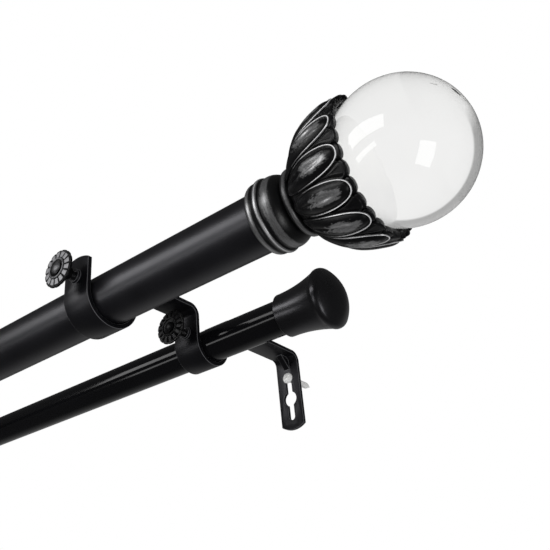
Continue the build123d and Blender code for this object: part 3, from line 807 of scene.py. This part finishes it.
nylon, tree, shader = new_finish("moulded_nylon", Specular_IOR_Level=0.5)
vary(tree, shader, grain(tree, NYLON_FLOW, detail=5.0), NYLON_TONES, NYLON_ROUGH)
roughen(tree, shader, grain(tree, NYLON_PITS), NYLON_PIT_DEPTH)

bare_steel, tree, shader = new_finish("plain_stud_steel", Metallic=1.0)
vary(tree, shader, grain(tree, STEEL_TURNING, stretch=STEEL_DRAWN), STEEL_TONES, STEEL_ROUGH)

for hidden in ("front_tube_glide", "rear_tube_glide", "right_rod_plug", "left_rod_plug"):
    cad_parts[hidden].data.materials[0] = nylon
for side in SIDES:
    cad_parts[f"{side}_finial_stud"].data.materials[0] = bare_steel


# Studio: a plain pale floor far below the rod, a white backdrop all round, and three soft lamps.
# Shiny pieces see a pale gleam below and behind the rod and a dim room elsewhere, where the lamps stand.
# Clear pieces see the white backdrop, with a grey corner at the upper left.
FLOOR_DROP, FLOOR_SIZE = 1.8, 30.0
FLOOR_TONES = ((0.88, 0.88, 0.88), (0.92, 0.92, 0.92))
FLOOR_CLOUDS = 3
LAMP_TARGET = Vector((0.1, -0.13, 0.0))
LAMPS = (
    ("left_softbox", (-0.4, -1.3, 0.38), 1.5, 0.5, 3.4),
    ("left_strip", (-0.65, -1.4, -0.28), 1.0, 0.2, 3.0),
    ("right_window", (1.05, -0.63, -0.87), 0.55, 0.8, 3.0),
)
LIT_LEVEL = 0.55
ROOM_LEVEL, TABLE_GLEAM = 0.05, 0.32
BEHIND_BELOW, GLEAM_EDGE = (-0.48, 0.85, -0.21), (0.55, 0.95)
GREY_CORNER = 0.42
UPPER_LEFT, CORNER_EDGE = (-0.42, -0.62, 0.66), (0.25, 0.5)
BEHIND, BEHIND_EDGE = (-0.26, 0.75, 0.61), (0.66, 0.71)

bm = bmesh.new()
bmesh.ops.create_grid(bm, x_segments=1, y_segments=1, size=FLOOR_SIZE / 2)
bmesh.ops.translate(bm, verts=bm.verts, vec=(0, 0, -FLOOR_DROP))
floor_mesh = bpy.data.meshes.new("pale_floor")
bm.to_mesh(floor_mesh)
bm.free()
floor_paint, tree, shader = new_finish("pale_floor_paint", Roughness=0.8, Specular_IOR_Level=0.2)
tree.links.new(tint(tree, grain(tree, FLOOR_CLOUDS), *FLOOR_TONES), shader.inputs["Base Color"])
floor_mesh.materials.append(floor_paint)
floor = bpy.data.objects.new("pale_floor", floor_mesh)
floor.visible_glossy = False
floor.visible_transmission = False
bpy.context.scene.collection.objects.link(floor)

for name, spot, width, height, radiance in LAMPS:
    lamp = bpy.data.lights.new(name, "AREA")
    lamp.shape = "RECTANGLE"
    lamp.size = width
    lamp.size_y = height
    lamp.energy = radiance * math.pi * width * height
    stand = bpy.data.objects.new(name, lamp)
    stand.location = spot
    stand.rotation_euler = (LAMP_TARGET - Vector(spot)).to_track_quat("-Z", "Y").to_euler()
    stand.visible_camera = False
    stand.visible_transmission = False
    bpy.context.scene.collection.objects.link(stand)

world = bpy.data.worlds.new("white_studio")
bpy.context.scene.world = world
world.use_nodes = True
tree = world.node_tree
backdrop = tree.nodes["Background"]
backdrop.inputs["Color"].default_value = (1, 1, 1, 1)
rays = node(tree, "LightPath")
direction = node(tree, "TexCoord")


def facing(aim, edge, low, high):
    """Level that goes from low to high over an edge, as a direction turns towards aim."""
    dot = node(tree, "VectorMath", operation="DOT_PRODUCT")
    dot.inputs[1].default_value = Vector(aim).normalized()
    tree.links.new(direction.outputs["Generated"], dot.inputs[0])
    return spread(tree, dot.outputs["Value"], low, high, *edge)


def choose(ray, yes, no):
    """Level yes for one kind of ray, no for the rest."""
    mix = node(tree, "Mix", data_type="FLOAT")
    tree.links.new(rays.outputs[ray], mix.inputs["Factor"])
    for socket, value in ((mix.inputs["A"], no), (mix.inputs["B"], yes)):
        if isinstance(value, float):
            socket.default_value = value
        else:
            tree.links.new(value, socket)
    return mix.outputs["Result"]


in_corner = times(tree, facing(BEHIND, BEHIND_EDGE, 1.0, 0.0), facing(UPPER_LEFT, CORNER_EDGE, 0.0, 1.0))
gleam = facing(BEHIND_BELOW, GLEAM_EDGE, ROOM_LEVEL, TABLE_GLEAM)
level = choose("Is Glossy Ray", gleam, LIT_LEVEL)
level = choose("Is Transmission Ray", spread(tree, in_corner, 1.0, GREY_CORNER, 0.0, 1.0), level)
level = choose("Is Camera Ray", 1.0, level)
tree.links.new(level, backdrop.inputs["Strength"])
bpy.context.scene.view_settings.view_transform = "Standard"


# Camera: below the rods and to their right, looking up along them at the finial and the bracket.
# Its shift keeps the finial at the right of a square picture.
AZIMUTH, ELEVATION, ROLL = math.radians(36.44), math.radians(-28.38), math.radians(-4.68)
STAND = (226.62 * MM, -347.1 * MM, -156.59 * MM)
SENSOR, LENS = 36.0, 44.15
SHIFT_X, SHIFT_Y = 0.0528, 0.0304
NEAREST = 0.01

back = Vector(
    (
        math.sin(AZIMUTH) * math.cos(ELEVATION),
        -math.cos(AZIMUTH) * math.cos(ELEVATION),
        math.sin(ELEVATION),
    )
)
level_right = Vector((math.cos(AZIMUTH), math.sin(AZIMUTH), 0))
level_up = back.cross(level_right)
right = math.cos(ROLL) * level_right + math.sin(ROLL) * level_up
up = math.cos(ROLL) * level_up - math.sin(ROLL) * level_right
view = bpy.data.cameras.new("view")
view.sensor_fit = "HORIZONTAL"
view.sensor_width = SENSOR
view.lens = LENS
view.shift_x = SHIFT_X
view.shift_y = SHIFT_Y
view.clip_start = NEAREST
camera = bpy.data.objects.new("view", view)
camera.matrix_world = Matrix.Translation(STAND) @ Matrix((right, up, back)).transposed().to_4x4()
bpy.context.scene.collection.objects.link(camera)
bpy.context.scene.camera = camera
